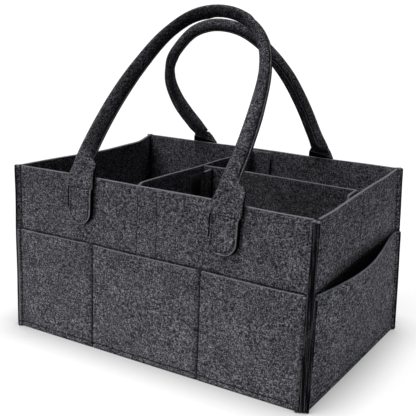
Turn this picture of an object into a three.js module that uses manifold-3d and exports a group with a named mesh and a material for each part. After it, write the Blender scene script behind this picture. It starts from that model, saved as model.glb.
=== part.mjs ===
// Felt nursery caddy: an open-topped tote of thick felt with outside pockets,
// two arched carry handles and two lift-out dividers held by hook tape.
// Millimetres, +Z up. X runs along the long side, -Y is the front.
// The origin is on the ground under the middle of the box.
import * as THREE from 'three';
import { mergeVertices } from 'three/addons/utils/BufferGeometryUtils.js';
import Module from 'manifold-3d';

const wasm = await Module();
wasm.setup();

// Sizes of the box.
const LENGTH = 340;        // outer face to outer face of the end walls
const DEPTH = 237;         // outer face to outer face of the front and back walls
const HEIGHT = 180;        // ground to the raw top edge
const FELT = 3;            // one layer of felt
const GAP = 0.3;           // air between layers that only touch
const FIN = 8;             // corner seam, from the inner corner to the raw edge

const FLOOR_LIFT = 3;      // the floor hangs this far above the ground in its folded edge
const FLOOR_TOP = FLOOR_LIFT + FELT;

// Pockets.
const POCKET_HEIGHT = 111;
const POCKET_SEAMS = [-70.5, 57];   // upright seams that part the long pockets
const LONG_BULGE = 6.5;             // how far a long-side pocket stands open at its mouth
const SIDE_BULGE = 15.5;            // the same for the wide end pockets
const SIDE_PEAK = 0.42;             // where the end pocket stands out most, front to back
const LEFT_BOW = 18;                // the left wall sags inwards by this at its top edge
const LEFT_BOW_SKEW = 1.3;          // moves the deepest point of the sag to the rear

// Handles.
const FRONT_TAB_X = [-85.5, 82.5];  // centres of the front handle's tabs
const BACK_TAB_X = [-84.5, 74];     // the same for the back handle
const TAB_WIDTH = 30;
const TAB_REACH = 50;               // how far a tab hangs below the box's top edge
const TAB_THICK = 5.2;              // two layers, pressed by the stitching
const BEND_RISE = 8;                // the fold where a handle swings is this far above that edge
const BEND_GAP = 0.4;               // air between a tab and the folded neck above it
const CORE_RADIUS = 2.7;            // cotton rope in the roll
const LIP = 3;                      // sewn raw edges that stand out of the roll
const LIP_LAYER = 2.1;              // one pressed layer of the lip
// Degrees that the lip is turned from facing the box towards the outside of the arch,
// at the left foot and at the right foot.
const FRONT_LIP_TURN = [-90, 125];
const BACK_LIP_TURN = [-32, 28];
const LIP_TWIST = [0.2, 0.8];       // shares of the arch between which the lip turns over
const FOOT_SPREAD = 1.3;            // the roll is this much wider near its feet
const SPREAD_ENDS = [50, 125];      // lengths along the roll between which it narrows
const NECK_WIDTH = 22;
const NECK_LENGTH = 14;             // flat felt between the fold and the roll
const FRONT_LEAN = 35.9;            // degrees from upright, towards the middle
const BACK_LEAN = 35;
const SWING_OUT = 170;              // degrees from the rest pose to hanging outside
// Middle line of each roll in its own leaning plane: [x, distance above the fold].
// Each starts and ends in its necks.
const ROLL_START = 12;
const FRONT_ARCH = [
  [FRONT_TAB_X[0], ROLL_START], [-83, 45], [-76, 88], [-63, 128], [-45.5, 164.5], [-22, 188],
  [8, 194.5], [40.5, 185], [66, 161.5], [79, 131], [85, 90], [86, 45],
  [FRONT_TAB_X[1], ROLL_START],
];
const BACK_ARCH = [
  [-90.5, ROLL_START], [-92, 20], [-99.5, 38], [-105, 62], [-104.5, 88], [-94, 117], [-75, 140.5],
  [-45, 164.5], [-18, 173.5], [4, 173], [22, 164.5], [39, 142.5], [54, 110.5], [64, 69],
  [69, 34], [72, ROLL_START],
];

// Dividers and their tapes.
const DIVIDER_DROP = 2;             // the dividers end this far below the box's top edge
const CROSS_X = -19;                // middle of the cross divider
const LONG_Y = 3;                   // middle of the long divider
const FLANGE = 25;                  // folded end of a divider
const FLAP_LENGTH = 20;             // free flap at the left end of the long divider
const FLAP_STANDOFF = 12;           // the flap stands this far off the cross divider
const LOOP_WIDTH = 25;
const HOOK_WIDTH = 20;
const HOOK_MARGIN = 1;              // hook tape ends this far from the felt's free edge
const TAPE_THICK = 1.2;
const TAPE_RISE = 20;               // ground to the lower end of the tapes
const TAPE_DROP = 8;                // the box's top edge to their upper end

// Inner faces of the walls, from which everything else is measured.
const INNER_X = LENGTH / 2 - FELT;
const INNER_Y = DEPTH / 2 - FELT;
const BEND_Z = HEIGHT + BEND_RISE;
const TAB_BOTTOM = HEIGHT - TAB_REACH;

// Felt colours.
const FELT_FRONT = 0x56565b;
const FELT_SIDE = 0x4a4a4e;
const FELT_INSIDE = 0x36363a;
const FELT_HANDLE = 0x3e3e42;
const TAPE_BLACK = 0x17171a;
const ROPE = 0xcfc8b8;

const group = new THREE.Group();

function add(name, geometry, color, roughness = 0.95) {
  const material = new THREE.MeshStandardMaterial({ color, roughness, metalness: 0 });
  const mesh = new THREE.Mesh(geometry, material);
  mesh.name = name;
  group.add(mesh);
  return mesh;
}

// A closed sheet from rows of stations. Each station holds the two faces of the
// sheet at that place, [inner, outer], as [x, y, z].
function sheetSolid(rows) {
  const across = rows[0].length;
  const up = rows.length;
  const positions = [];
  for (const row of rows) {
    for (const [inner, outer] of row) positions.push(...inner, ...outer);
  }
  const at = (j, i, side) => (j * across + i) * 2 + side;
  const index = [];
  const quad = (a, b, c, d) => index.push(a, b, c, a, c, d);
  for (let j = 0; j < up - 1; j += 1) {
    for (let i = 0; i < across - 1; i += 1) {
      quad(at(j, i, 0), at(j + 1, i, 0), at(j + 1, i + 1, 0), at(j, i + 1, 0));
      quad(at(j, i, 1), at(j, i + 1, 1), at(j + 1, i + 1, 1), at(j + 1, i, 1));
    }
    quad(at(j, 0, 0), at(j, 0, 1), at(j + 1, 0, 1), at(j + 1, 0, 0));
    const last = across - 1;
    quad(at(j, last, 0), at(j + 1, last, 0), at(j + 1, last, 1), at(j, last, 1));
  }
  for (let i = 0; i < across - 1; i += 1) {
    quad(at(0, i, 0), at(0, i + 1, 0), at(0, i + 1, 1), at(0, i, 1));
    const top = up - 1;
    quad(at(top, i, 0), at(top, i, 1), at(top, i + 1, 1), at(top, i + 1, 0));
  }
  return closedGeometry(positions, index);
}

// A mirrored solid comes out inside-out, so its triangles are turned round.
function closedGeometry(positions, index) {
  if (signedVolume(positions, index) < 0) {
    for (let k = 0; k < index.length; k += 3) {
      [index[k + 1], index[k + 2]] = [index[k + 2], index[k + 1]];
    }
  }
  const geometry = new THREE.BufferGeometry();
  geometry.setAttribute('position', new THREE.Float32BufferAttribute(positions, 3));
  geometry.setIndex(index);
  geometry.computeVertexNormals();
  return geometry;
}

function signedVolume(positions, index) {
  const corner = (k) => new THREE.Vector3().fromArray(positions, index[k] * 3);
  let volume = 0;
  for (let k = 0; k < index.length; k += 3) {
    volume += corner(k).dot(corner(k + 1).cross(corner(k + 2)));
  }
  return volume;
}

// Walls and pocket panels.
// A wall is drawn in its own plan: u along the wall, v outwards from the middle of
// the box. At both ends it turns 45 degrees outwards into the corner seam, where the
// layers of the two walls lie face to face. 'layer' is 0 for the wall, 1 for the pocket.
const ROOT2 = Math.SQRT2;

function planStations(layer, innerU, innerV, samples) {
  const near = layer * (FELT + GAP);             // inner face, from the wall's inner face
  const far = near + FELT;
  const nearFin = near + GAP / 2;                // the same two faces inside the seam
  const farFin = nearFin + FELT;
  const bend = (rise, offset) => innerU + rise - ROOT2 * offset;
  const tip = (offset) => [innerU + (FIN - offset) / ROOT2, innerV + (FIN + offset) / ROOT2];
  const innerEnd = bend(near, nearFin);
  const outerEnd = bend(far, farFin);
  const stations = [];
  stations.push({ inner: tip(nearFin), outer: tip(farFin), s: 1, free: false });
  stations.push({
    inner: [innerEnd, innerV + near], outer: [outerEnd, innerV + far], s: 1, free: false,
  });
  const left = stations.map(({ inner, outer }) => ({
    inner: [-inner[0], inner[1]], outer: [-outer[0], outer[1]], s: 0, free: false,
  }));
  const middle = samples.map((u) => ({
    inner: [u, innerV + near], outer: [u, innerV + far], s: (u + outerEnd) / (2 * outerEnd), free: true,
  }));
  return [...left, ...middle, ...stations.reverse()];
}

// place(u, v, z) puts a plan point into the box; push(s, u, z) moves a free station outwards.
function wallSolid({ layer, innerU, innerV, samples, levels, place, push }) {
  const stations = planStations(layer, innerU, innerV, samples);
  const rows = levels.map((z) => stations.map(({ inner, outer, s, free }) => {
    const out = free ? push(s, inner[0], z) : 0;
    return [place(inner[0], inner[1] + out, z), place(outer[0], outer[1] + out, z)];
  }));
  return sheetSolid(rows);
}

const placeFront = (u, v, z) => [u, -v, z];
const placeBack = (u, v, z) => [u, v, z];
const placeLeft = (u, v, z) => [-v, u, z];
const placeRight = (u, v, z) => [v, u, z];

function evenly(from, to, count) {
  return Array.from({ length: count }, (_, i) => from + ((to - from) * (i + 1)) / (count + 1));
}

const still = () => 0;
const leftSag = (s, z) => -LEFT_BOW * Math.sin(Math.PI * s ** LEFT_BOW_SKEW) * (z / HEIGHT) ** 2;

const SAG_STEPS = 12;
const POUCH_LEVELS = [0, POCKET_HEIGHT / 3, (POCKET_HEIGHT * 2) / 3, POCKET_HEIGHT];
const SAG_LEVELS = [...POUCH_LEVELS, (POCKET_HEIGHT + HEIGHT) / 2, HEIGHT];
const sideSamples = evenly(-INNER_Y + FELT, INNER_Y - FELT, SAG_STEPS);

add('front_panel', wallSolid({
  layer: 0, innerU: INNER_X, innerV: INNER_Y, samples: [], levels: [0, HEIGHT],
  place: placeFront, push: still,
}), FELT_FRONT);
add('back_panel', wallSolid({
  layer: 0, innerU: INNER_X, innerV: INNER_Y, samples: [], levels: [0, HEIGHT],
  place: placeBack, push: still,
}), FELT_FRONT);
add('right_panel', wallSolid({
  layer: 0, innerU: INNER_Y, innerV: INNER_X, samples: [], levels: [0, HEIGHT],
  place: placeRight, push: still,
}), FELT_SIDE);
add('left_panel', wallSolid({
  layer: 0, innerU: INNER_Y, innerV: INNER_X, samples: sideSamples, levels: SAG_LEVELS,
  place: placeLeft, push: (s, u, z) => leftSag(s, z),
}), FELT_SIDE);

// The long pockets belly out between their seams, most at the mouth, and lie
// flat along the seams and the bottom edge.
const POCKET_STEPS = 8;
const POCKET_ROWS = 4;
const POCKET_LEVELS = Array.from({ length: POCKET_ROWS + 1 }, (_, i) => (POCKET_HEIGHT * i) / POCKET_ROWS);
const seamPlaces = [-INNER_X + FELT, ...POCKET_SEAMS, INNER_X - FELT];

function longPocketSamples() {
  const samples = [seamPlaces[0]];
  for (let k = 0; k < seamPlaces.length - 1; k += 1) {
    samples.push(...evenly(seamPlaces[k], seamPlaces[k + 1], POCKET_STEPS), seamPlaces[k + 1]);
  }
  return samples;
}

function longBulge(s, u, z) {
  const k = Math.max(0, seamPlaces.findIndex((seam) => seam >= u - GAP) - 1);
  const [from, to] = [seamPlaces[k], seamPlaces[k + 1]];
  const across = Math.min(1, Math.max(0, (u - from) / (to - from)));
  return LONG_BULGE * Math.sin(Math.PI * across) ** 0.8 * (z / POCKET_HEIGHT) ** 0.6;
}

for (const [name, place] of [['front_pocket_panel', placeFront], ['back_pocket_panel', placeBack]]) {
  add(name, wallSolid({
    layer: 1, innerU: INNER_X, innerV: INNER_Y, samples: longPocketSamples(),
    levels: POCKET_LEVELS, place, push: longBulge,
  }), FELT_FRONT);
}

// The end pockets are one wide pouch each and gape most near their front half.
function sideBulge(s, z) {
  const rise = Math.sin((Math.PI / 2) * (s / SIDE_PEAK));
  const fall = Math.cos((Math.PI / 2) * ((s - SIDE_PEAK) / (1 - SIDE_PEAK))) ** 3;
  const shape = Math.max(0, s < SIDE_PEAK ? rise : fall);
  return SIDE_BULGE * shape * (z / POCKET_HEIGHT) ** 0.75;
}

for (const [name, place] of [['right_pocket_panel', placeRight], ['left_pocket_panel', placeLeft]]) {
  add(name, wallSolid({
    layer: 1, innerU: INNER_Y, innerV: INNER_X, samples: sideSamples,
    levels: POUCH_LEVELS, place, push: (s, u, z) => sideBulge(s, z),
  }), FELT_SIDE);
}

// Joining and cutting closed solids.
function toManifold(geometry) {
  const bare = geometry.clone();
  bare.deleteAttribute('normal');
  bare.deleteAttribute('uv');
  const merged = mergeVertices(bare, 1e-4);
  return new wasm.Manifold(new wasm.Mesh({
    numProp: 3,
    vertProperties: new Float32Array(merged.attributes.position.array),
    triVerts: new Uint32Array(merged.index.array),
  }));
}

function fromManifold(solid) {
  const mesh = solid.getMesh();
  const geometry = new THREE.BufferGeometry();
  geometry.setAttribute('position', new THREE.BufferAttribute(mesh.vertProperties, 3));
  geometry.setIndex(new THREE.BufferAttribute(mesh.triVerts, 1));
  geometry.computeVertexNormals();
  return geometry;
}

// A block from its low and high corners.
function block(low, high) {
  const size = high.map((value, i) => value - low[i]);
  const geometry = new THREE.BoxGeometry(...size);
  geometry.translate(...high.map((value, i) => (value + low[i]) / 2));
  return geometry;
}

// Floor.
// One felt sheet whose edges are folded down inside the walls and sewn through them.
const floorX = INNER_X - GAP;
const floorY = INNER_Y - GAP;
const floorSheet = block([-floorX, -floorY, 0], [floorX, floorY, FLOOR_TOP]);
const underFloor = block(
  [-floorX + FELT, -floorY + FELT, -FELT],
  [floorX - FELT, floorY - FELT, FLOOR_LIFT],
);
add('bottom_panel', fromManifold(toManifold(floorSheet).subtract(toManifold(underFloor))), FELT_INSIDE);

// Handle tabs.
// A tab is drawn around its fold: X along the wall, Y outwards, Z up. Its top is cut
// slanting, so that the neck can lie over it when the handle hangs outside.
const bendOut = DEPTH / 2 + GAP + TAB_THICK / 2;
const radians = THREE.MathUtils.degToRad;

function tabOutline() {
  const half = TAB_WIDTH / 2;
  const arcCentre = TAB_BOTTOM + half - BEND_Z;
  const outline = new THREE.Shape();
  outline.moveTo(half, 0);
  outline.lineTo(-half, 0);
  outline.lineTo(-half, arcCentre);
  outline.absarc(0, arcCentre, half, Math.PI, 2 * Math.PI, false);
  outline.closePath();
  return outline;
}

function tabSolid(lean) {
  const half = TAB_THICK / 2;
  const angle = radians(SWING_OUT - lean);
  const away = [-Math.cos(angle), Math.sin(angle)];
  const topAt = (out) => -(half + BEND_GAP - Math.cos(angle) * out) / away[1];
  const face = new THREE.ExtrudeGeometry(tabOutline(), {
    depth: TAB_THICK, bevelEnabled: false, curveSegments: 12,
  });
  face.rotateX(Math.PI / 2);
  face.translate(0, half, 0);
  const low = TAB_BOTTOM - BEND_Z - FELT;
  const wide = half + FELT;
  const side = new THREE.Shape();
  side.moveTo(-wide, low);
  side.lineTo(wide, low);
  side.lineTo(wide, topAt(wide));
  side.lineTo(-wide, topAt(-wide));
  side.closePath();
  const profile = new THREE.ExtrudeGeometry(side, { depth: TAB_WIDTH * 2, bevelEnabled: false });
  profile.translate(0, 0, -TAB_WIDTH);
  const turn = new THREE.Matrix4().makeBasis(
    new THREE.Vector3(0, 1, 0),
    new THREE.Vector3(0, 0, 1),
    new THREE.Vector3(1, 0, 0),
  );
  profile.applyMatrix4(turn);
  return fromManifold(toManifold(face).intersect(toManifold(profile)));
}

['left', 'right'].forEach((side, i) => {
  const front = add(`front_${side}_tab`, tabSolid(FRONT_LEAN), FELT_HANDLE);
  front.position.set(FRONT_TAB_X[i], -bendOut, BEND_Z);
  front.rotation.z = Math.PI;
  const back = add(`back_${side}_tab`, tabSolid(BACK_LEAN), FELT_HANDLE);
  back.position.set(BACK_TAB_X[i], bendOut, BEND_Z);
});

// Handles.
// One strip of felt is rolled round a rope and its raw edges are sewn together into
// a lip. The strip's cut is a broken ring, with its lip towards the box:
// x outwards from the middle of the arch, y away from the box.
const CORE_BORE = CORE_RADIUS + GAP;
const ROLL_RADIUS = CORE_BORE + FELT;
const ARCH_STEPS = 60;

function ringArc(radius, halfOpening, steps) {
  const start = Math.asin(halfOpening / radius) - Math.PI / 2;
  const sweep = 2 * (Math.PI - Math.asin(halfOpening / radius));
  return Array.from({ length: steps + 1 }, (_, i) => {
    const angle = start + (sweep * i) / steps;
    return [radius * Math.cos(angle), radius * Math.sin(angle)];
  });
}

function rollSection() {
  const slit = GAP / 2;
  const lipSide = slit + LIP_LAYER;
  const lipEnd = -(ROLL_RADIUS + LIP);
  return [
    [lipSide, lipEnd],
    ...ringArc(ROLL_RADIUS, lipSide, 12),
    [-lipSide, lipEnd],
    [-slit, lipEnd],
    ...ringArc(CORE_BORE, slit, 8).reverse(),
    [slit, lipEnd],
  ];
}

function ropeSection() {
  return Array.from({ length: 12 }, (_, i) => {
    const angle = (Math.PI * i) / 6;
    return [CORE_RADIUS * Math.cos(angle), CORE_RADIUS * Math.sin(angle)];
  });
}

// Sweeps a section along the stretch of an arch between two of its stations. 'away' is
// 1 or -1, the side of the drawing that faces away from the box. The section turns with
// the lip and is widened in the arch's plane near the feet.
function alongArch(section, { arch, away, lipTurn }, from, to, spread) {
  const curve = new THREE.CatmullRomCurve3(arch.map(([x, rise]) => new THREE.Vector3(x, rise, 0)));
  const length = curve.getLength();
  const positions = [];
  for (let k = from; k <= to; k += 1) {
    const t = k / ARCH_STEPS;
    const centre = curve.getPointAt(t);
    const tangent = curve.getTangentAt(t);
    const over = THREE.MathUtils.smoothstep(t, ...LIP_TWIST);
    const turn = radians(lipTurn[0] + (lipTurn[1] - lipTurn[0]) * over);
    const toFoot = length * Math.min(t, 1 - t);
    const widen = 1 + (spread - 1) * (1 - THREE.MathUtils.smoothstep(toFoot, ...SPREAD_ENDS));
    for (const [x, y] of section) {
      const out = (x * Math.cos(turn) - y * Math.sin(turn)) * widen;
      const rise = x * Math.sin(turn) + y * Math.cos(turn);
      positions.push(centre.x - tangent.y * out, centre.y + tangent.x * out, away * rise);
    }
  }
  const around = section.length;
  const last = positions.length / 3 - around;
  const index = [];
  for (let start = 0; start < last; start += around) {
    for (let i = 0; i < around; i += 1) {
      const next = (i + 1) % around;
      index.push(start + i, start + next, start + around + next);
      index.push(start + i, start + around + next, start + around + i);
    }
  }
  const corners = section.map(([x, y]) => new THREE.Vector2(x, y));
  for (const [a, b, c] of THREE.ShapeUtils.triangulateShape(corners, [])) {
    index.push(c, b, a, last + a, last + b, last + c);
  }
  return closedGeometry(positions, index);
}

// The flat felt between the fold and the roll, round at the fold.
function neck(x) {
  const half = TAB_THICK / 2;
  const profile = new THREE.Shape();
  profile.moveTo(NECK_LENGTH, half);
  profile.absarc(0, 0, half, Math.PI / 2, (3 * Math.PI) / 2, false);
  profile.lineTo(NECK_LENGTH, -half);
  profile.closePath();
  const solid = new THREE.ExtrudeGeometry(profile, {
    depth: NECK_WIDTH, bevelEnabled: false, curveSegments: 8,
  });
  const turn = new THREE.Matrix4().makeBasis(
    new THREE.Vector3(0, 1, 0),
    new THREE.Vector3(0, 0, 1),
    new THREE.Vector3(1, 0, 0),
  );
  solid.applyMatrix4(turn);
  solid.translate(x - NECK_WIDTH / 2, 0, 0);
  return solid;
}

function coverSolid(handle) {
  let solid = toManifold(alongArch(rollSection(), handle, 0, ARCH_STEPS, FOOT_SPREAD));
  for (const x of handle.feet) solid = solid.add(toManifold(neck(x)));
  return fromManifold(solid);
}

const handles = [
  {
    name: 'front', arch: FRONT_ARCH, feet: FRONT_TAB_X, lipTurn: FRONT_LIP_TURN, away: 1,
    y: -bendOut, tilt: Math.PI / 2 - radians(FRONT_LEAN),
  },
  {
    name: 'back', arch: BACK_ARCH, feet: BACK_TAB_X, lipTurn: BACK_LIP_TURN, away: -1,
    y: bendOut, tilt: Math.PI / 2 + radians(BACK_LEAN),
  },
];
for (const handle of handles) {
  const cover = add(`${handle.name}_handle_cover`, coverSolid(handle), FELT_HANDLE);
  const core = add(
    `${handle.name}_handle_core`, alongArch(ropeSection(), handle, 1, ARCH_STEPS - 1, 1), ROPE, 0.8,
  );
  for (const mesh of [cover, core]) {
    mesh.position.set(0, handle.y, BEND_Z);
    mesh.rotation.x = handle.tilt;
  }
}

// Dividers.
// Each is one sheet with its ends folded over; the folds carry the hook tape.
function standingSheet(points) {
  const bottom = FLOOR_TOP + GAP;
  const plan = new THREE.Shape(points.map(([x, y]) => new THREE.Vector2(x, y)));
  const solid = new THREE.ExtrudeGeometry(plan, {
    depth: HEIGHT - DIVIDER_DROP - bottom, bevelEnabled: false,
  });
  solid.translate(0, 0, bottom);
  return solid;
}

// Depth taken up between a wall and a folded end by the two tapes.
const tapeStack = 2 * TAPE_THICK + 3 * GAP;
const crossLeft = CROSS_X - FELT / 2;
const crossRight = CROSS_X + FELT / 2;
const crossEnd = INNER_Y - tapeStack;
add('cross_divider', standingSheet([
  [crossLeft, -crossEnd],
  [crossLeft + FLANGE, -crossEnd],
  [crossLeft + FLANGE, -crossEnd + FELT],
  [crossRight, -crossEnd + FELT],
  [crossRight, crossEnd - FELT],
  [crossLeft + FLANGE, crossEnd - FELT],
  [crossLeft + FLANGE, crossEnd],
  [crossLeft, crossEnd],
]), FELT_INSIDE);

const longFront = LONG_Y - FELT / 2;
const longBack = LONG_Y + FELT / 2;
const longStart = crossRight + GAP;
const longEnd = INNER_X - tapeStack;
const flapFace = crossRight + FLAP_STANDOFF;
add('long_divider', standingSheet([
  [longStart, longBack],
  [longStart, longFront],
  [flapFace, longFront],
  [flapFace, longFront - FLAP_LENGTH],
  [flapFace + FELT, longFront - FLAP_LENGTH],
  [flapFace + FELT, longFront],
  [longEnd - FELT, longFront],
  [longEnd - FELT, longBack - FLANGE],
  [longEnd, longBack - FLANGE],
  [longEnd, longBack],
]), FELT_INSIDE);

// Hook and loop tapes.
function tape(name, low, high) {
  add(name, block([...low, TAPE_RISE], [...high, HEIGHT - TAPE_DROP]), TAPE_BLACK, 0.8);
}

const loopFace = INNER_Y - GAP;
const hookFace = crossEnd + GAP;
tape('front_loop_tape', [crossRight, -loopFace], [crossRight + LOOP_WIDTH, -loopFace + TAPE_THICK]);
tape('back_loop_tape', [crossRight, loopFace - TAPE_THICK], [crossRight + LOOP_WIDTH, loopFace]);

const sideFace = INNER_X - GAP;
tape('right_loop_tape', [sideFace - TAPE_THICK, longFront - LOOP_WIDTH], [sideFace, longFront]);

const hookRight = crossLeft + FLANGE - HOOK_MARGIN;
const hookLeft = hookRight - HOOK_WIDTH;
tape('cross_divider_front_hook_tape', [hookLeft, -hookFace - TAPE_THICK], [hookRight, -hookFace]);
tape('cross_divider_back_hook_tape', [hookLeft, hookFace], [hookRight, hookFace + TAPE_THICK]);

const crossTapeX = crossRight + GAP;
const crossTapeBack = longFront - HOOK_MARGIN;
tape(
  'cross_divider_loop_tape',
  [crossTapeX, crossTapeBack - LOOP_WIDTH],
  [crossTapeX + TAPE_THICK, crossTapeBack],
);

const hookFront = longBack - FLANGE + HOOK_MARGIN;
tape(
  'long_divider_right_hook_tape',
  [longEnd + GAP, hookFront],
  [longEnd + GAP + TAPE_THICK, hookFront + HOOK_WIDTH],
);
const flapFront = longFront - FLAP_LENGTH + HOOK_MARGIN;
tape(
  'long_divider_flap_hook_tape',
  [flapFace - GAP - TAPE_THICK, flapFront],
  [flapFace - GAP, longFront - HOOK_MARGIN],
);

export default group;
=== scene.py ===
# Felt nursery caddy: an open-topped box of thick heather felt with sewn corner
# seams, outside pockets, two rolled carry handles and two lift-out dividers.
# Shapes are drawn in millimetres, x along the long side, -y the front, z up.
import math

import bpy
import numpy as np
from mathutils import Matrix


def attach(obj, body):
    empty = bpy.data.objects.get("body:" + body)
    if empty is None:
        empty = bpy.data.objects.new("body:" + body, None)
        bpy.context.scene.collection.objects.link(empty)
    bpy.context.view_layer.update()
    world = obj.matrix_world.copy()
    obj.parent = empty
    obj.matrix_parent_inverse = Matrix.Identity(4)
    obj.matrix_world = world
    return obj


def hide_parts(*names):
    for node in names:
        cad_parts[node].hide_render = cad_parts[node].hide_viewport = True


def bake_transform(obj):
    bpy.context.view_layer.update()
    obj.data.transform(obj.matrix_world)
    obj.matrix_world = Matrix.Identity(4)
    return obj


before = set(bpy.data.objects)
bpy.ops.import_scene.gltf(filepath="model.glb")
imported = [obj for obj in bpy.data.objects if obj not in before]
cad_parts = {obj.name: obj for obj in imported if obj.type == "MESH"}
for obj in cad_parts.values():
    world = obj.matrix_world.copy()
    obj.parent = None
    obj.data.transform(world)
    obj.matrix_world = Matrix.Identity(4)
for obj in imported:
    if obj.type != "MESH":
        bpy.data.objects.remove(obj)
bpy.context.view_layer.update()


# Walls
# Four panels of 3 mm needled felt, one for each side. Their upright ends are turned
# outwards and sewn face to face into a raw-edged seam at each corner.
MM = 0.001
LENGTH = 340.0
DEPTH = 237.0
HEIGHT = 180.0
POCKET_HEIGHT = 111.0
FELT = 3.0
GAP = 0.3
FIN = 8.0
INNER_X = LENGTH / 2 - FELT
INNER_Y = DEPTH / 2 - FELT
BEND_ROUND = 3.0
EDGE_ROUND = 0.75
BOTTOM_SEAM = 6.0
SEAM_DEPTH = 0.35
SEAM_WIDTH = 1.1
SEAM_SHADE_REACH = 2.4
FIN_SWELL = 0.27
RAW_END = 1.2
# How far the painted shadow rises up the right wall above its pocket's mouth.
MOUTH_SHADOW_RISE = 11.0
LEFT_BOW = 18.0
LEFT_BOW_SKEW = 1.3
LEFT_DENT = 4.2
TAPE_LINES = (-16.0, 6.5)
SIDE_TAPE_LINES = (-22.0, 0.0)
SIDE_TAPE_TOP = 173.0
THREAD_SUNK = 0.35

# How far use has moved each corner of the box, [x, y, z]: left front, left back, then
# right front, right back; first at the ground, then at the raw top edge.
CORNER_SHIFT = np.array([
    [[(-1.5, -1.0, 0), (-1.0, -1.0, 0)], [(1.3, -2.8, 0), (4.9, -12.0, 0)]],
    [[(-1.4, 0.6, 0), (0.6, 4.4, 1.0)], [(5.1, -4.0, -0.4), (-4.9, 5.5, 0.9)]],
])
FRONT_RISE = 1.6
UNEVEN = (0.9, 0.9, 0.7)
UNEVEN_SEED = 11


def smooth(value, low, high):
    share = np.clip((value - low) / (high - low), 0, 1)
    return share * share * (3 - 2 * share)


def unit(way):
    return way / np.maximum(np.linalg.norm(way, axis=-1, keepdims=True), 1e-9)


def ripple(points, seed, reach):
    """Gentle unevenness of soft felt, the same wherever two layers lie together."""
    rng = np.random.default_rng(seed)
    total = np.zeros(points.shape[:-1])
    for _ in range(5):
        way = unit(rng.normal(size=3))
        total += np.sin(points @ way * (2 * np.pi / rng.uniform(55, 130)) + rng.uniform(0, 6.28))
    return total * reach / 5


def settle(points, hold=1.0):
    """Where a point of the straight box lies on the used one; hold is how far it follows."""
    right = np.clip(points[..., 0] / LENGTH + 0.5, 0, 1)
    behind = np.clip(points[..., 1] / DEPTH + 0.5, 0, 1)
    up = np.clip(points[..., 2] / HEIGHT, 0, 1)
    moved = np.array(points, float)
    for i, share_up in enumerate((1 - up, up)):
        for j, share_right in enumerate((1 - right, right)):
            for k, share_behind in enumerate((1 - behind, behind)):
                weight = share_up * share_right * share_behind * hold
                moved += weight[..., None] * CORNER_SHIFT[i, j, k]
    moved[..., 2] += FRONT_RISE * np.sin(np.pi * np.clip(right / 0.9, 0, 1)) * (1 - behind) * up * hold
    for axis, reach in enumerate(UNEVEN):
        moved[..., axis] += ripple(points, UNEVEN_SEED + axis, reach) * up * hold
    return moved


def lengths_along(line):
    return np.concatenate([[0], np.cumsum(np.linalg.norm(np.diff(line, axis=0), axis=1))])


def rounded_path(corners, radius):
    """A line through the corners with each turned in a small arc, and the lengths along it."""
    corners = [np.array(corner, float) for corner in corners]
    line = [corners[0]]
    for before, corner, after in zip(corners, corners[1:], corners[2:]):
        into, out = unit(corner - before), unit(after - corner)
        reach = radius * math.tan(math.acos(np.clip(into @ out, -1, 1)) / 2)
        start, end = corner - into * reach, corner + out * reach
        for k in np.linspace(0, 1, 9):
            line.append((1 - k) ** 2 * start + 2 * k * (1 - k) * corner + k * k * end)
    line = np.array([*line, corners[-1]])
    return line, lengths_along(line)


def follow(path, lengths, a):
    return np.interp(a, lengths, path[:, 0]), np.interp(a, lengths, path[:, 1])


def stations(length, close_to=(), coarse=5.0, fine=0.8, reach=4.0):
    """Places for mesh lines: wide apart on plain felt and close together at seams."""
    lines = list(np.linspace(0, length, max(3, round(length / coarse) + 1)))
    near = [line for line in lines if any(abs(line - place) < reach for place in close_to)]
    lines = [line for line in lines if line not in near or line in (0, length)]
    for place in close_to:
        lines += list(np.arange(place - reach, place + reach + fine / 2, fine))
    kept = [0.0]
    for line in sorted(lines):
        if line - kept[-1] > fine * 0.6 and line < length - fine * 0.3:
            kept.append(float(line))
    return np.array(kept + [length])


def round_corners(a, z, radii):
    """Moves the grid's square corners onto arcs: bottom left, bottom right, top right, top left."""
    width, height = a.max(), z.max()
    a, z = a.copy(), z.copy()
    for radius, right, top in zip(radii, (0, 1, 1, 0), (0, 0, 1, 1)):
        from_side = width - a if right else a
        from_end = height - z if top else z
        inside = (from_side < radius) & (from_end < radius)
        side, end = radius - from_side[inside], radius - from_end[inside]
        scale = np.maximum(side, end) / np.maximum(np.hypot(side, end), 1e-9)
        a[inside] = width - radius + side * scale if right else radius - side * scale
        z[inside] = height - radius + end * scale if top else radius - end * scale
    return a, z


def face_out(place, a, z, step=0.2):
    """Middle of the sheet at (a, z) and the direction of its face there."""
    middle = place(a, z)
    across = place(a + step, z) - place(a - step, z)
    rise = place(a, z + step) - place(a, z - step)
    return middle, unit(np.cross(across, rise))


def finish_piece(obj, body, material, replaced=()):
    obj.data.materials.append(material)
    obj.data.shade_smooth()
    if body:
        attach(obj, body)
    if replaced:
        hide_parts(*replaced)


def new_object(name, data):
    obj = bpy.data.objects.new(name, data)
    bpy.context.scene.collection.objects.link(obj)
    return obj


def new_mesh(name, points, faces, values=None):
    mesh = bpy.data.meshes.new(name)
    mesh.from_pydata((np.asarray(points) * MM).tolist(), [], faces)
    for key, numbers in (values or {}).items():
        mesh.attributes.new(key, "FLOAT", "POINT").data.foreach_set(
            "value", np.asarray(numbers, np.float32))
    mesh.update()
    return new_object(name, mesh)


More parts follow.
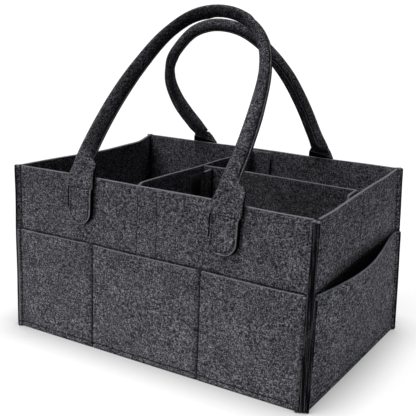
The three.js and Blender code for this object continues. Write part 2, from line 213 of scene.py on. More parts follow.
def felt_sheet(name, across, up, place, corners, thick=FELT, rim=EDGE_ROUND, seams_and_shade=None, pale=0.5):
    """A closed sheet with rounded raw edges. place(a, z) gives its middle layer; the marks function gives
    at (a, z) how dark it is at seams and with painted shade (below 0 a painted highlight, above 1 the
    plies of a raw end) and how pulled in; pale is how far in its raw edge is lighter, partly the cut felt
    and partly a painted highlight."""
    lines = []
    for steps in (across, up):
        ring = np.array([0, 0.3 * rim, rim])
        inner = steps[(steps > 1.6 * rim) & (steps < steps[-1] - 1.6 * rim)]
        lines.append(np.concatenate([ring, inner, steps[-1] - ring[::-1]]))
    a, z = np.meshgrid(*lines)
    depth = np.minimum.reduce([a, a.max() - a, z, z.max() - z])
    half = thick / 2 - rim + np.sqrt(rim ** 2 - np.clip(rim - depth, 0, rim) ** 2)
    shade, groove = seams_and_shade(a, z) if seams_and_shade else (0 * a, 0 * a)
    half *= 1 - SEAM_DEPTH * groove
    a, z = round_corners(a, z, corners)
    middle, facing = face_out(place, a, z)
    points = np.concatenate([
        (middle + facing * half[..., None]).reshape(-1, 3),
        (middle - facing * half[..., None]).reshape(-1, 3),
    ])
    rows, columns = a.shape
    count = rows * columns
    number = np.arange(count).reshape(rows, columns)
    quads = np.stack([number[:-1, :-1], number[:-1, 1:], number[1:, 1:], number[1:, :-1]], -1)
    quads = quads.reshape(-1, 4)
    faces = quads.tolist() + (quads[:, ::-1] + count).tolist()
    border = np.concatenate([number[0], number[1:, -1], number[-1, -2::-1], number[-2:0:-1, 0]])
    ahead = np.roll(border, -1)
    faces += np.stack([ahead, border, border + count, ahead + count], -1).tolist()
    raw_edge_and_highlight = np.maximum((depth < pale) & (shade < 0.1), -shade).ravel()
    return new_mesh(name, points, faces, {
        "raw_edge_and_highlight": np.tile(raw_edge_and_highlight, 2), "seams_and_shade": np.tile(np.clip(shade, 0, 1).ravel(), 2),
        "layered": np.tile(np.clip(shade - 1, 0, 1).ravel(), 2),
    })


def line_at(value, place, width=0.9):
    """1 on a line and fading to 0 within about twice its width."""
    return np.exp(-(((value - place) / width) ** 2))


BUMP_STRENGTH = 0.7
GLOSS = 0.01
FUZZ_DEPTH = 0.55
FLECK_MIDDLE = 1.15
FLECK_RANGE = 0.23


def linear(colour):
    """A colour written as it looks on a screen, as the shader wants it."""
    return [c / 12.92 if c <= 0.04045 else ((c + 0.055) / 1.055) ** 2.4 for c in colour] + [1.0]


def grey(value):
    return value, value, value, 1


def node(tree, kind, inputs=None, **settings):
    made = tree.nodes.new(kind)
    for key, value in settings.items():
        setattr(made, key, value)
    for key, value in (inputs or {}).items():
        if isinstance(value, bpy.types.NodeSocket):
            tree.links.new(value, made.inputs[key])
        else:
            made.inputs[key].default_value = value
    return made


def maths(tree, operation, *values):
    return node(tree, "ShaderNodeMath", dict(enumerate(values)), operation=operation).outputs[0]


def empty_tree(owner):
    owner.use_nodes = True
    owner.node_tree.nodes.clear()
    return owner.node_tree


def noise(tree, coordinates, size, detail=2.0, roughness=0.5, stretch=(1, 1, 1), distortion=0.0):
    """Noise whose patches are about 'size' millimetres."""
    shaped = node(tree, "ShaderNodeMapping", {
        "Vector": coordinates, "Scale": [1 / (size * MM * s) for s in stretch],
    })
    return node(tree, "ShaderNodeTexNoise", {
        "Vector": shaped.outputs["Vector"], "Scale": 1.0, "Detail": detail,
        "Roughness": roughness, "Distortion": distortion,
    }).outputs[0]


def new_material(name, roughness, colour, height, depth):
    """A matte material. colour and height are functions that draw on the node tree, and
    roughness is [size of its patches, lowest, highest]."""
    material = bpy.data.materials.new(name)
    tree = empty_tree(material)
    coordinates = node(tree, "ShaderNodeTexCoord").outputs["Object"]
    size, low, high = roughness
    rough = node(tree, "ShaderNodeMapRange", {
        "Value": noise(tree, coordinates, size), "To Min": low, "To Max": high,
    })
    bump = node(tree, "ShaderNodeBump", {
        "Height": height(tree, coordinates), "Strength": BUMP_STRENGTH, "Distance": depth * MM,
    })
    surface = node(tree, "ShaderNodeBsdfPrincipled", {
        "Base Color": colour(tree, coordinates), "Roughness": rough.outputs[0],
        "Specular IOR Level": GLOSS, "Normal": bump.outputs["Normal"],
    })
    node(tree, "ShaderNodeOutputMaterial", {"Surface": surface.outputs["BSDF"]})
    return material


def ramp(tree, value, stops):
    made = node(tree, "ShaderNodeValToRGB", {"Fac": value})
    band = made.color_ramp.elements
    while len(band) < len(stops):
        band.new(0.5)
    for element, (place, colour) in zip(band, stops):
        element.position = place
        element.color = colour if hasattr(colour, "__len__") else grey(colour)
    return made.outputs["Color"]


def blend_colour(tree, share, first, second, way="MIX"):
    inputs = {0: share, 6: first, 7: second}
    return node(tree, "ShaderNodeMix", inputs, data_type="RGBA", blend_type=way).outputs[2]


def flecks(tree, coordinates, lie, contrast=1.0):
    """Light and dark wool fibres, matted together: 0 for the darkest, 1 for the lightest."""
    x, y, z = lie
    grain = noise(tree, coordinates, 1.35, 3.0, 0.65, stretch=lie)
    strands = noise(tree, coordinates, 2.4, 3.0, 0.6, (1.6 * x, 1.6 * y, 0.6 * z), 1.2)
    crossing = noise(tree, coordinates, 2.4, 3.0, 0.6, (0.6 * x, 0.6 * y, 1.5 * z), 1.2)
    total = maths(tree, "MULTIPLY_ADD", strands, 0.7, grain)
    total = maths(tree, "MULTIPLY_ADD", crossing, 0.6, total)
    return node(tree, "ShaderNodeMapRange", {
        "Value": total, "From Min": FLECK_MIDDLE - FLECK_RANGE / contrast,
        "From Max": FLECK_MIDDLE + FLECK_RANGE / contrast,
    }).outputs[0]


def felt_material(name, colour, edge, contrast=1.0, lie=(1, 1, 1)):
    """Heather felt: flecked and cloudy; paler at raw edges, partly the cut felt and partly a painted
    highlight; darker at seams and with painted shade.
    """
    def shade(factor):
        return [min(1.0, c * factor) for c in linear(colour)[:3]] + [1.0]

    def colour_of(tree, coordinates):
        heather = ramp(tree, flecks(tree, coordinates, lie, contrast), [
            (0.0, shade(0.12)), (0.3, shade(0.4)), (0.52, shade(0.9)), (0.76, shade(1.8)),
            (1.0, shade(3.2)),
        ])
        cloud = ramp(tree, noise(tree, coordinates, 24, 2.0), [(0.3, 0.84), (0.7, 1.14)])
        heather = blend_colour(tree, 1.0, heather, cloud, "MULTIPLY")
        raw_edge_and_highlight, seams_and_shade, layered = (
            node(tree, "ShaderNodeAttribute", attribute_name=key).outputs["Fac"]
            for key in ("raw_edge_and_highlight", "seams_and_shade", "layered"))
        # Paler raw edges, partly the cut felt and partly a painted highlight; then dark seams and painted
        # shade; then dark streaked plies on raw ends.
        heather = blend_colour(tree, raw_edge_and_highlight, heather, shade(edge))
        heather = blend_colour(tree, seams_and_shade, heather, shade(0.03))
        streaks = noise(tree, coordinates, 1.1, 1.0, 0.5, (1, 1, 30))
        frayed = noise(tree, coordinates, 0.8, 2.0, 0.7, (1, 1, 1.6))
        plies = ramp(tree, maths(tree, "MULTIPLY_ADD", frayed, 0.6, streaks), [
            (0.68, shade(0.03)), (0.84, shade(0.15)), (1.02, shade(0.8)),
        ])
        return blend_colour(tree, layered, heather, plies)

    def height_of(tree, coordinates):
        fuzz = noise(tree, coordinates, 0.7, 2.0, 0.6)
        return maths(tree, "MULTIPLY_ADD", fuzz, 0.5, flecks(tree, coordinates, lie))

    return new_material(name, (2.5, 0.86, 1.0), colour_of, height_of, FUZZ_DEPTH)


CHARCOAL = (0.337, 0.337, 0.357)
felt_front = felt_material("felt_front", CHARCOAL, 2.8, contrast=1.1)
felt_side = felt_material("felt_side", CHARCOAL, 2.6, contrast=1.35, lie=(1, 1.5, 1))
# A darker copy of the same felt for the floor and dividers: painted shade for the inside of the box.
felt_inside = felt_material("felt_inside", (0.31, 0.31, 0.328), 2.8)


def wall_path(layer, inner_u, inner_v, turns):
    """Middle line of one layer of a side, seen from above, and where its two ends turn out."""
    off = layer * (FELT + GAP) + FELT / 2
    fin_off = off + GAP / 2
    corners, bends = [], []
    for end, degrees in zip((-1, 1), turns):
        sine, cosine = math.sin(math.radians(degrees)), math.cos(math.radians(degrees))
        bend = inner_u - sine * fin_off + cosine * (off - cosine * fin_off) / sine
        tip = (inner_u + cosine * FIN - sine * fin_off, inner_v + sine * FIN + cosine * fin_off)
        corners.append([(end * bend, inner_v + off), (end * tip[0], tip[1])])
        bends.append(bend)
    path = [corners[0][1], corners[0][0], *corners[1]]
    return rounded_path(path, BEND_ROUND), bends


# Each side: half its length, its distance out, the angles that its two ends are turned
# out by, how far its ends drop at the top, and how it is turned into place.
SIDES = {
    "front": (INNER_X, INNER_Y, (45, 66), (0, 2.4), lambda u, v, z: np.stack([u, -v, z], -1)),
    "back": (INNER_X, INNER_Y, (45, 45), (0, 0), lambda u, v, z: np.stack([u, v, z], -1)),
    "left": (INNER_Y, INNER_X, (45, 45), (0, 0), lambda u, v, z: np.stack([-v, u, z], -1)),
    "right": (INNER_Y, INNER_X, (24, 45), (2.4, 0), lambda u, v, z: np.stack([v, u, z], -1)),
}


def side_place(side, layer, height, push):
    """Place function of one layer on a side of the box; push moves its free stretch outwards."""
    inner_u, inner_v, turns, drops, turn = SIDES[side]
    (path, lengths), (low, high) = wall_path(layer, inner_u, inner_v, turns)

    def place(a, z):
        u, v = follow(path, lengths, a)
        drop = drops[0] * smooth(-u, low, low + 4.0) + drops[1] * smooth(u, high, high + 4.0)
        free = 1 - smooth(-u, low - 6.0, low) - smooth(u, high - 6.0, high)
        z = z * (1 - drop / height)
        return settle(turn(u, v + push(u, z) * free, z))

    middle = float(np.interp(0, path[:, 0], lengths))
    return place, lengths[-1], middle, (-low, high)


def side_sheet(name, side, layer, height, push, seams=(), lines=()):
    """One panel. seams are full stitched lines across it, lines are [u, low z, high z]."""
    place, length, middle, bends = side_place(side, layer, height, push)
    across = stations(length, [middle + u for u in (*bends, *seams, *(line[0] for line in lines))])
    up = stations(height, (BOTTOM_SEAM, POCKET_HEIGHT + 0.6)[:2 - layer], coarse=6.0, fine=0.6)

    def seams_and_shade(a, z):
        """Dark in seams and on raw ends; painted shadow above a pocket's mouth and on one side of each
        pocket seam; painted highlight on the seam's other side and beside raw ends, painted shadow there
        on the right side.
        """
        groove = 0.75 * line_at(z, BOTTOM_SEAM, 0.7)
        # Painted shadow: a thin dark line on the wall just above each pocket's mouth.
        mouth = line_at(z, POCKET_HEIGHT + 0.3, 0.6) * (layer == 0)
        # Painted shadow inside the right pocket's open mouth, rising up the wall above it.
        if side == "right" and layer == 0:
            share = np.clip((a - middle) / (2 * INNER_Y) + 0.5, 0, 1)
            top = POCKET_HEIGHT + MOUTH_SHADOW_RISE * np.sin(np.pi * share) ** 0.8
            mouth = np.maximum(mouth, 0.95 * smooth(top - z, -10.0, 16.0) ** 0.7)
        seam_shade_and_highlight = 0 * a
        for seam in seams:
            groove = np.maximum(groove, line_at(a, middle + seam, SEAM_WIDTH))
            right = (a - middle - seam) * (1 if side == "front" else -1)
            # Painted shade on one side of each pocket seam, a painted highlight on the other.
            seam_shade_and_highlight = np.maximum(seam_shade_and_highlight, 0.75 * np.exp(right / SEAM_SHADE_REACH) * (right < 0))
            seam_shade_and_highlight = np.where(right > 0.9, -0.5 * line_at(right, 1.5, 0.6), seam_shade_and_highlight)
        for u, low, high in lines:
            groove = np.maximum(groove, 0.65 * line_at(a, middle + u, 0.6) * ((z > low) & (z < high)))
        from_end = np.minimum(a, length - a)
        raw = 2 - 2 * smooth(from_end, 0.3, RAW_END)
        if side == "front" and layer == 1:
            raw = np.where(a > middle, 0.35 * (from_end < 0.6), raw)
        shade = np.maximum.reduce([groove, mouth, raw])
        shade = np.where(shade < 0.3, seam_shade_and_highlight, np.maximum(shade, seam_shade_and_highlight))
        for bend in bends:
            past = (a - middle - bend) * np.sign(bend)
            shade = np.maximum(shade, 0.7 * line_at(past, 0.8))
            groove = groove - FIN_SWELL * smooth(past, 0.0, 2.0)
        # Painted highlight just beside the raw ends; on the right side a painted shadow there instead.
        beside = line_at(from_end, RAW_END + 0.9, 0.7)
        if side == "right":
            return np.maximum(shade, beside), groove
        return np.where((shade < 0.3) & (beside > 0.3), -0.9 * beside, shade), groove

    pale = 0.2 if layer else 0.5
    sheet = felt_sheet(name, across, up, place, (2.5, 2.5, 1.5, 1.5), seams_and_shade=seams_and_shade, pale=pale)
    if side in ("front", "back"):
        finish_piece(sheet, "shell", felt_front, [name])
    else:
        finish_piece(sheet, "shell", felt_side, [name])


def stay(u, z):
    return 0 * u


def left_sag(u, z):
    share = np.clip(u / (2 * INNER_Y) + 0.5, 0, 1)
    bow = LEFT_BOW * np.sin(np.pi * share ** LEFT_BOW_SKEW) + LEFT_DENT * line_at(share, 0.79, 0.11)
    return -bow * (z / HEIGHT) ** 2


wall_push = dict.fromkeys(SIDES, stay) | {"left": left_sag}
long_lines = [(u, BOTTOM_SEAM, HEIGHT - 6.0) for u in TAPE_LINES]
wall_lines = {"front": long_lines, "back": long_lines, "left": (),
              "right": [(u, BOTTOM_SEAM, SIDE_TAPE_TOP) for u in SIDE_TAPE_LINES]}
for side in SIDES:
    side_sheet(f"{side}_panel", side, 0, HEIGHT, wall_push[side], lines=wall_lines[side])


# Pockets
# A lower band of the same felt on each side, caught in the corner seams and the bottom
# seam. Two upright seams part the long ones; each mouth stands a little open.
POCKET_SEAMS = (-67.8, 59.4)
LONG_BULGE = 2.2
SIDE_BULGE = 13.4
SIDE_PEAK = 0.42
SIDE_FALL = 1.6
SEAM_PLACES = (-INNER_X + FELT, *POCKET_SEAMS, INNER_X - FELT)


def long_bulge(u, z):
    total = np.zeros_like(u)
    for start, end in zip(SEAM_PLACES, SEAM_PLACES[1:]):
        share = np.clip((u - start) / (end - start), 0, 1)
        total = total + np.sin(np.pi * share) ** 0.45
    return LONG_BULGE * total * (np.clip(z, 0, None) / POCKET_HEIGHT) ** 0.6


def side_bulge(u, z):
    share = np.clip(u / (2 * INNER_Y) + 0.5, 0, 1)
    rise = np.sin(np.pi / 2 * np.clip(share / SIDE_PEAK, 0, 1))
    fall = np.cos(np.pi / 2 * np.clip((share - SIDE_PEAK) / (1 - SIDE_PEAK), 0, 1)) ** SIDE_FALL
    bulge = SIDE_BULGE * np.where(share < SIDE_PEAK, rise, fall)
    return bulge * (np.clip(z, 0, None) / POCKET_HEIGHT) ** 0.75


pocket_push = {"front": long_bulge, "back": long_bulge, "left": side_bulge, "right": side_bulge}
for side in SIDES:
    seams = POCKET_SEAMS if side in ("front", "back") else ()
    side_sheet(f"{side}_pocket_panel", side, 1, POCKET_HEIGHT, pocket_push[side], seams=seams)


# Floor
# One sheet of felt laid in from above, its edges turned down 3 mm inside the walls
# and caught by the bottom seam.
FLOOR_X = INNER_X - GAP
FLOOR_Y = INNER_Y - GAP
FLOOR_TOP = 6.0
# Cut through the edge from the middle of the underside, round the turned-down hem,
# to the middle of the top: [distance in from the walls, height].
FLOOR_CUT = (
    (9.0, 3.0), (4.2, 3.0), (3.2, 2.4), (3.0, 1.2), (2.3, 0.4), (0.7, 0.4), (0.0, 1.1),
    (0.0, 3.6), (0.9, 5.2), (2.6, FLOOR_TOP), (9.0, FLOOR_TOP),
)
HEM_CORNER = 4.0


def floor_ring(inset, height):
    """One loop round the floor, with soft corners."""
    radius = max(HEM_CORNER - inset, 0.8)
    centre = np.array([FLOOR_X - inset - radius, FLOOR_Y - inset - radius])
    arcs = []
    for quarter, way in enumerate(((1, 1), (-1, 1), (-1, -1), (1, -1))):
        angle = np.linspace(0, math.pi / 2, 5) + quarter * math.pi / 2
        arcs.append(centre * way + radius * np.stack([np.cos(angle), np.sin(angle)], -1))
    loop = []
    for arc, ahead in zip(arcs, arcs[1:] + arcs[:1]):
        loop += [*arc, *np.linspace(arc[-1], ahead[0], 26)[1:-1]]
    return [(x, y, height) for x, y in loop]


def tube_faces(rings, around):
    """Faces of a tube through a number of rings of points, closed at its first and last."""
    faces = []
    for start in range(0, (rings - 1) * around, around):
        for i in range(around):
            j = (i + 1) % around
            faces.append([start + i, start + j, start + around + j, start + around + i])
    first, last = list(range(around)), list(range((rings - 1) * around, rings * around))
    return faces + [first[::-1], last]


floor_points = [point for inset, height in FLOOR_CUT for point in floor_ring(inset, height)]
floor_faces = tube_faces(len(FLOOR_CUT), len(floor_points) // len(FLOOR_CUT))
bottom = new_mesh("bottom_panel", settle(np.array(floor_points)), floor_faces)
finish_piece(bottom, "shell", felt_inside, ["bottom_panel"])


# Tapes
# Woven hook and loop tape, black: soft loop strips sewn inside the walls and on the
# cross divider, hook strips on the folded ends of the dividers.
TAPE_THICK = 1.2
TAPE_RISE = 20.0
TAPE_TOP = HEIGHT - 8.0
LOOP_WIDTH = 25.0
HOOK_WIDTH = 20.0
DIVIDER_SLACK = 0.008


def fibre_material(name, dark, light, patches, bumps, roughness, depth):
    """Fibres of one dye. patches and bumps are the noise of colour and height: size, detail, grain."""
    def colour_of(tree, coordinates):
        return ramp(tree, noise(tree, coordinates, *patches), [(0.3, linear(dark)), (0.7, linear(light))])

    def height_of(tree, coordinates):
        return noise(tree, coordinates, *bumps)

    return new_material(name, roughness, colour_of, height_of, depth)


loop_tape = fibre_material(
    "loop_tape", (0.132, 0.132, 0.141), (0.374, 0.374, 0.4), (0.9, 2.0, 0.6), (0.9, 2.0, 0.6),
    (1.8, 0.6, 0.9), 0.4)
hook_tape = fibre_material(
    "hook_tape", (0.045, 0.045, 0.051), (0.128, 0.128, 0.145), (0.5, 2.0, 0.6), (0.5, 2.0, 0.6),
    (1.0, 0.6, 0.9), 0.4)


def skewed(y):
    """The cross divider has been pushed in slightly askew: its back end stands further right."""
    return CROSS_SHIFT + CROSS_SKEW * y / INNER_Y


def settle_upright(points):
    """Where a point of a divider lies: upright, and leaning only with the long walls it meets."""
    top = np.array(points, float)
    top[..., 2] = HEIGHT
    upright, leaning = settle(top), settle(points)
    upright[..., 2] = leaning[..., 2]
    near_wall = smooth(np.abs(points[..., 1]), 60, 100)
    upright[..., 1] += (leaning[..., 1] - upright[..., 1]) * near_wall
    upright[..., :2] -= DIVIDER_SLACK * points[..., :2]
    return upright


def tape(name, body, along, across_axis, face, material):
    """A strip from along[0] to along[1] on the x or y axis, in the plane at 'face' on the other."""
    low, high = along

    def place(a, z):
        run, plane = low + a, face + 0 * a
        x, y = (run, plane) if across_axis == "x" else (plane, run)
        if body == "cross_divider_body":
            x = x + skewed(y)
        points = np.stack([x, y, z + TAPE_RISE], -1)
        return settle(points) if body == "shell" else settle_upright(points)

    strip = felt_sheet(
        name, stations(high - low, coarse=4.0), stations(TAPE_TOP - TAPE_RISE, coarse=8.0), place,
        (0.8, 0.8, 0.8, 0.8), thick=TAPE_THICK, rim=0.3)
    finish_piece(strip, body, material, [name])


CROSS_X = -19.0
CROSS_SHIFT = 2.4
CROSS_SKEW = 6.3
LONG_Y = 3.0
FLANGE = 25.0
TAPE_STACK = 2 * TAPE_THICK + 3 * GAP
CROSS_LEFT = CROSS_X - FELT / 2
CROSS_RIGHT = CROSS_X + FELT / 2
CROSS_END = INNER_Y - TAPE_STACK
LONG_FRONT = LONG_Y - FELT / 2
LONG_BACK = LONG_Y + FELT / 2
LONG_END = INNER_X - TAPE_STACK
FLAP_LENGTH = 20.0
FLAP_FACE = CROSS_RIGHT + 12.0
half_tape = TAPE_THICK / 2
wall_tape = INNER_Y - GAP - half_tape
divider_tape = CROSS_END + GAP + half_tape
hook_right = CROSS_LEFT + FLANGE - 1.0
hook_front = LONG_BACK - FLANGE + 1.0
for word, face in (("front", -wall_tape), ("back", wall_tape)):
    tape(f"{word}_loop_tape", "shell", (CROSS_RIGHT, CROSS_RIGHT + LOOP_WIDTH), "x", face, loop_tape)
tape("right_loop_tape", "shell", (LONG_FRONT - LOOP_WIDTH, LONG_FRONT), "y",
     INNER_X - GAP - half_tape, loop_tape)
tape("cross_divider_loop_tape", "cross_divider_body", (LONG_FRONT - 1 - LOOP_WIDTH, LONG_FRONT - 1),
     "y", CROSS_RIGHT + GAP + half_tape, loop_tape)
for word, face in (("front", -divider_tape), ("back", divider_tape)):
    tape(f"cross_divider_{word}_hook_tape", "cross_divider_body", (hook_right - HOOK_WIDTH, hook_right),
         "x", face, hook_tape)
tape("long_divider_right_hook_tape", "long_divider_body", (hook_front, hook_front + HOOK_WIDTH),
     "y", LONG_END + GAP + half_tape, hook_tape)
tape("long_divider_flap_hook_tape", "long_divider_body",
     (LONG_FRONT - FLAP_LENGTH + 1, LONG_FRONT - 1), "y", FLAP_FACE - GAP - half_tape, hook_tape)


# Dividers
# Each is one sheet of the same felt with its ends folded over against the tapes. They
# stand on the floor sheet, just below the box's raw edge, and lift straight out.
DIVIDER_BOTTOM = FLOOR_TOP + GAP
DIVIDER_TOP = HEIGHT - 2.0
FOLD_ROUND = 2.6


def divider_sheet(name, corners, body, rise, replaced=(), seams_and_shade=None):
    """A standing sheet along a line seen from above; rise is [length along it, how much taller]."""
    path, lengths = rounded_path(corners, FOLD_ROUND)

    def place(a, z):
        x, y = follow(path, lengths, a)
        x = x + skewed(y) * (name == "cross_divider")
        taller = np.interp(a, *zip(*rise)) * z / (DIVIDER_TOP - DIVIDER_BOTTOM)
        return settle_upright(np.stack([x, y, z + taller + DIVIDER_BOTTOM], -1))

    turns = [lengths[i] for i in range(5, len(lengths) - 1, 9)]
    sheet = felt_sheet(
        name, stations(lengths[-1], turns, reach=5.0), stations(DIVIDER_TOP - DIVIDER_BOTTOM, coarse=6.0),
        place, (2, 2, 1.2, 1.2), seams_and_shade=seams_and_shade)
    finish_piece(sheet, body, felt_inside, replaced)


def flap_shade(a, z):
    """Dark where the flap leaves the divider and along its raw end."""
    return np.where((a < 0.9) | (a > FLAP_LENGTH - 1.5), 0.8, 0.0), 0 * a


cross_mid = CROSS_END - FELT / 2
divider_sheet("cross_divider", [
    (CROSS_LEFT + FLANGE, -cross_mid), (CROSS_X, -cross_mid), (CROSS_X, cross_mid),
    (CROSS_LEFT + FLANGE, cross_mid),
], "cross_divider_body", [(FLANGE - 3, -1.5), (FLANGE + 5, 1.7), (2 * FLANGE + 2 * cross_mid, 0.8)],
    ["cross_divider"])
long_mid = LONG_END - FELT / 2
divider_sheet("long_divider", [
    (CROSS_RIGHT + CROSS_SHIFT + GAP, LONG_Y), (long_mid, LONG_Y), (long_mid, LONG_BACK - FLANGE),
], "long_divider_body", [(0, 1.0)], ["long_divider"])
flap_mid = FLAP_FACE + FELT / 2
divider_sheet("long_divider_flap", [
    (flap_mid, LONG_FRONT - GAP), (flap_mid, LONG_FRONT - FLAP_LENGTH),
], "long_divider_body", [(0, -0.9), (FLAP_LENGTH, -1.4)], seams_and_shade=flap_shade)


# Handles
# Each is one strip of felt about 40 mm wide. Its flat ends are doubled and sewn to the
# outside of a long wall as tabs; between them it is rolled round a cotton rope and its
# raw edges are sewn together as a lip.
FRONT_TAB_X = (-83.2, 82.1)
BACK_TAB_X = (-84.5, 74.0)
TAB_WIDTH = 29.0
TAB_BOTTOM = 130.0
TAB_LAYER = 1.6
TAB_UNDER = 2.8
TAB_OFF = 1.5
TAB_SEAM = 3.8
TAB_ROW = 11.5
# Widths at the tab's raw edge: of the painted highlight and the painted shade along its wall side, then
# of the painted shadow outside it.
TAB_RIM = 1.5
TAB_EDGE_SHADOW = 0.65
TAB_OUT = DEPTH / 2 + GAP + 2.6
BEND_Z = HEIGHT + 8.0
BEND_RADIUS = 14.0
ROLL_RADIUS = 6.1
LIP = 1.9
LIP_LAYER = 1.2
ROLL_START = 12.0
EAR_RISE = 17.0
EAR_OVERHANG = 8.5
NECK_CURL = 3.2
NECK_LENGTH = 22.0
# The middle of each roll in its leaning plane, [x, rise from the fold], how wide the roll
# is, [share of its length, half width], and how far its lip is turned round it.
FRONT_ARCH = (
    (-83.9, ROLL_START), (-81.6, 45), (-74.8, 87.8), (-63.1, 127.7), (-45.9, 164.8), (-22, 188.2),
    (8.0, 194.8), (40.8, 185.5), (66.3, 161.7), (79.1, 131.1), (84.6, 90), (85.3, 45), (81.8, ROLL_START),
)
FRONT_WIDTH = (
    (0, 9.2), (0.2, 8.5), (0.3, 7.6), (0.37, 6.8), (0.64, 6.0), (0.73, 6.2), (0.84, 7.7), (1, 8.3),
)
FRONT_TURN = ((0, -68), (0.3, -62), (0.42, -40), (0.6, 60), (0.68, 105), (0.8, 97), (1, 95))
BACK_ARCH = (
    (-93.6, ROLL_START), (-95.8, 19), (-101, 37.5), (-105.5, 62), (-104.8, 88), (-93.7, 116.7),
    (-74.0, 139.6), (-44.6, 163.7), (-18, 173.1), (3.6, 171.9), (21.4, 163.6), (39.2, 142.6),
    (54.3, 110.6), (63.9, 69.1), (68.4, 34), (71.2, ROLL_START),
)
BACK_WIDTH = (
    (0, 7.2), (0.03, 8.6), (0.1, 8.5), (0.2, 6.8), (0.25, 5.7), (0.3, 6.6), (0.36, 6.7),
    (0.55, 6.7), (0.64, 6.9), (0.75, 7.7), (1, 8.2),
)
BACK_TURN = ((0, -40), (0.5, -45), (0.6, -20), (0.7, 25), (1, 18))
# Painted shade on one side of each roll, where the light doesn't reach: [share of its length, how dark],
# above 0 on the inside of the arch and below 0 on the outside.
FRONT_PAINTED_SHADE = ((0, 0.5), (0.3, 0.6), (0.4, 0.75), (0.56, 0.75), (0.7, 0), (1, 0))
BACK_PAINTED_SHADE = ((0, -0.55), (0.3, -0.55), (0.38, 0), (0.55, 0), (0.66, 0.8), (1, 0.85))
# Where the handles were looked at for their widths: degrees right of the front, and up.
SEEN_FROM = (30.63, 13.44)
felt_handle = felt_material("felt_handle", CHARCOAL, 2.6, contrast=1.2)
# lean is how far each arch leans in, in degrees. For its tabs, left then right: how much
# wider they are, and that above the stitched row, and how far the foot has swung aside.
# tip is how far the doubled felt goes past the fold, ear the round of its upper corner,
# and slant how soon it narrows to the roll.
HANDLES = {
    "front": dict(
        arch=FRONT_ARCH, width=FRONT_WIDTH, turn=FRONT_TURN, painted_shade=FRONT_PAINTED_SHADE, painted_shade_from=(-0.45, 0.1),
        feet=FRONT_TAB_X, away=-1, lean=35.9, reach=(0.3, 1.4), flare=(1.2, 2.3), swing=(1.6, 2.0),
        tip=12.0, ear=11.0, slant=2.5),
    "back": dict(
        arch=BACK_ARCH, width=BACK_WIDTH, turn=BACK_TURN, painted_shade=BACK_PAINTED_SHADE, painted_shade_from=(0.1, 0.4),
        feet=BACK_TAB_X, away=1, lean=35.0, reach=(0, 0), flare=(2.8, 0.8), swing=(0, 0),
        tip=3.0, ear=11.0, slant=1.0),
}


def between(k, start, end, first, second):
    share = (k - start) / (end - start)
    return (1 - share) * first + share * second


def smooth_curve(points, count):
    """Evenly spaced points on a centripetal curve through the given ones."""
    points = [np.array(point, float) for point in points]
    points = [2 * points[0] - points[1], *points, 2 * points[-1] - points[-2]]
    dense = []
    for near in zip(points, points[1:], points[2:], points[3:]):
        t = np.cumsum([0, *(np.linalg.norm(b - a) ** 0.5 for a, b in zip(near, near[1:]))])
        for k in np.linspace(t[1], t[2], 24, endpoint=False):
            a = [between(k, t[i], t[i + 1], near[i], near[i + 1]) for i in range(3)]
            b = [between(k, t[i], t[i + 2], a[i], a[i + 1]) for i in range(2)]
            dense.append(between(k, t[1], t[2], *b))
    dense = np.array([*dense, points[-2]])
    lengths = lengths_along(dense)
    return np.stack(follow(dense, lengths, np.linspace(0, lengths[-1], count)), -1), lengths[-1]


def on_handle(handle, x, rise, out):
    """A point of the handle's leaning plane: rise from the fold, out away from the box."""
    lean = math.radians(handle["lean"])
    y = handle["away"] * (TAB_OUT - rise * math.sin(lean) + out * math.cos(lean))
    z = BEND_Z + rise * math.cos(lean) + out * math.sin(lean)
    points = np.stack(np.broadcast_arrays(x, y, z), -1)
    return settle(points, 1 - smooth(rise, 0.0, 60.0))


def roll_outline():
    """Cut through the roll, its lip pointing down, with the slit between the lip's layers."""
    end = ROLL_RADIUS + LIP
    lip = [
        (0.1, -ROLL_RADIUS), (0.12, 0.6 - end), (0.55, -end), (LIP_LAYER - 0.5, -end),
        (LIP_LAYER, 0.6 - end), (LIP_LAYER, -ROLL_RADIUS - 1.2), (LIP_LAYER * 0.72, -ROLL_RADIUS - 0.1),
    ]
    start = math.asin(LIP_LAYER * 1.15 / ROLL_RADIUS)
    ring = [(ROLL_RADIUS * math.sin(angle), -ROLL_RADIUS * math.cos(angle))
            for angle in np.linspace(start, 2 * math.pi - start, 40)]
    return np.array(lip + ring + [(-x, y) for x, y in reversed(lip)])


def silhouette(handle, way):
    """The direction across the roll as it is seen: its parts in the plane and out of it."""
    lean = math.radians(handle["lean"])
    azimuth, elevation = (math.radians(angle) for angle in SEEN_FROM)
    view = [math.sin(azimuth) * math.cos(elevation), -math.cos(azimuth) * math.cos(elevation),
            math.sin(elevation)]
    rise = np.array([0, -handle["away"] * math.sin(lean), math.cos(lean)])
    away = np.array([0, handle["away"] * math.cos(lean), math.sin(lean)])
    right = np.array([1.0, 0, 0])
    across = unit(np.cross(view, way[0] * right + way[1] * rise))
    outwards = across @ (way[0] * rise - way[1] * right)
    return abs(outwards), across @ away * np.sign(outwards)


